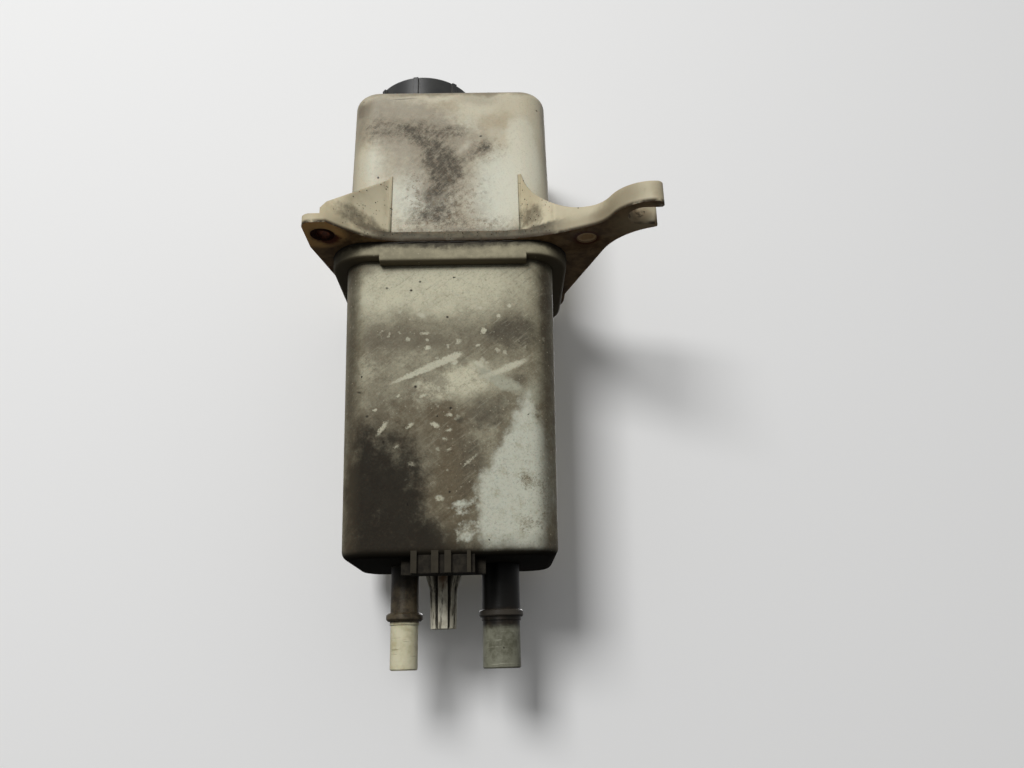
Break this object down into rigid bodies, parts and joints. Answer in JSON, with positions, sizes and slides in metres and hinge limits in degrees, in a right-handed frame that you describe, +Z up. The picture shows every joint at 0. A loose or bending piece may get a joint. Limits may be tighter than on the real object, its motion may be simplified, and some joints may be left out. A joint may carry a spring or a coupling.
{
  "type": "power steering reservoir",
  "caption": "Tall welded plastic fluid tank with a mounting plate, bolt ear, slotted arm, screw cap, hose nozzles and a locating peg.",
  "frame": {"origin": "axis of the left ear's bolt hole, at the mounting plate's underside, which is the weld seam's plane", "axes": "+Z up towards the cap, -Y towards the ear's and arm's free ends (the front), +X from the ear to the arm"},
  "size_m": [0.1415, 0.1039, 0.2609],
  "materials": {
    "tank_plastic": "off-white translucent polyamide, soiled",
    "cap_plastic": "black glass-filled polyamide",
    "insert_plastic": "black polypropylene",
    "stick_plastic": "black polyamide",
    "inner_plastic": "natural polyamide",
    "nylon_mesh": "woven nylon screen",
    "steel_mesh": "woven stainless screen",
    "seal_rubber": "nitrile rubber",
    "vent_felt": "grey felt",
    "zinc_steel": "zinc plated steel, rusted",
    "spring_steel": "bare spring steel",
    "magnet_ceramic": "sintered ferrite"
  },
  "bodies": {
    "tank": {"upper_shell": "tank_plastic", "filler_neck": "tank_plastic", "front_plate": "tank_plastic", "back_plate": "tank_plastic", "ear_plate": "tank_plastic", "arm_plate": "tank_plastic", "lower_shell": "tank_plastic", "weld_flange": "tank_plastic", "supply_nozzle": "tank_plastic", "return_nozzle": "tank_plastic", "return_standpipe": "tank_plastic", "locating_peg": "tank_plastic", "foot_pad": "tank_plastic", "ear_bush": "zinc_steel", "strainer_frame": "inner_plastic", "strainer_mesh": "nylon_mesh", "baffle_plate": "tank_plastic", "filter_base": "inner_plastic", "filter_seal": "seal_rubber", "filter_core": "inner_plastic", "filter_screen": "steel_mesh", "filter_top": "inner_plastic", "outlet_frame": "inner_plastic", "outlet_mesh": "nylon_mesh", "magnet": "magnet_ceramic", "magnet_clip": "spring_steel"},
    "cap_core": {"cap_insert": "insert_plastic", "cap_seal": "seal_rubber", "cap_vent_valve": "seal_rubber", "cap_vent_felt": "vent_felt", "dipstick": "stick_plastic"},
    "cap": {"cap_shell": "cap_plastic"}
  },
  "joints": [
    {"name": "cap_lift", "type": "slide", "parent": "tank", "child": "cap_core", "axis": [0, 0, 1], "range_m": [0, 0.0061]},
    {"name": "cap_turn", "type": "hinge", "parent": "cap_core", "child": "cap", "pos_m": [0.037, 0.0443, 0.085], "axis": [0, 0, 1], "range_deg": [0, 540]}
  ],
  "couplings": [
    {"joint": "cap_lift", "follows": "cap_turn", "m_per_rad": 0.00063662}
  ]
}
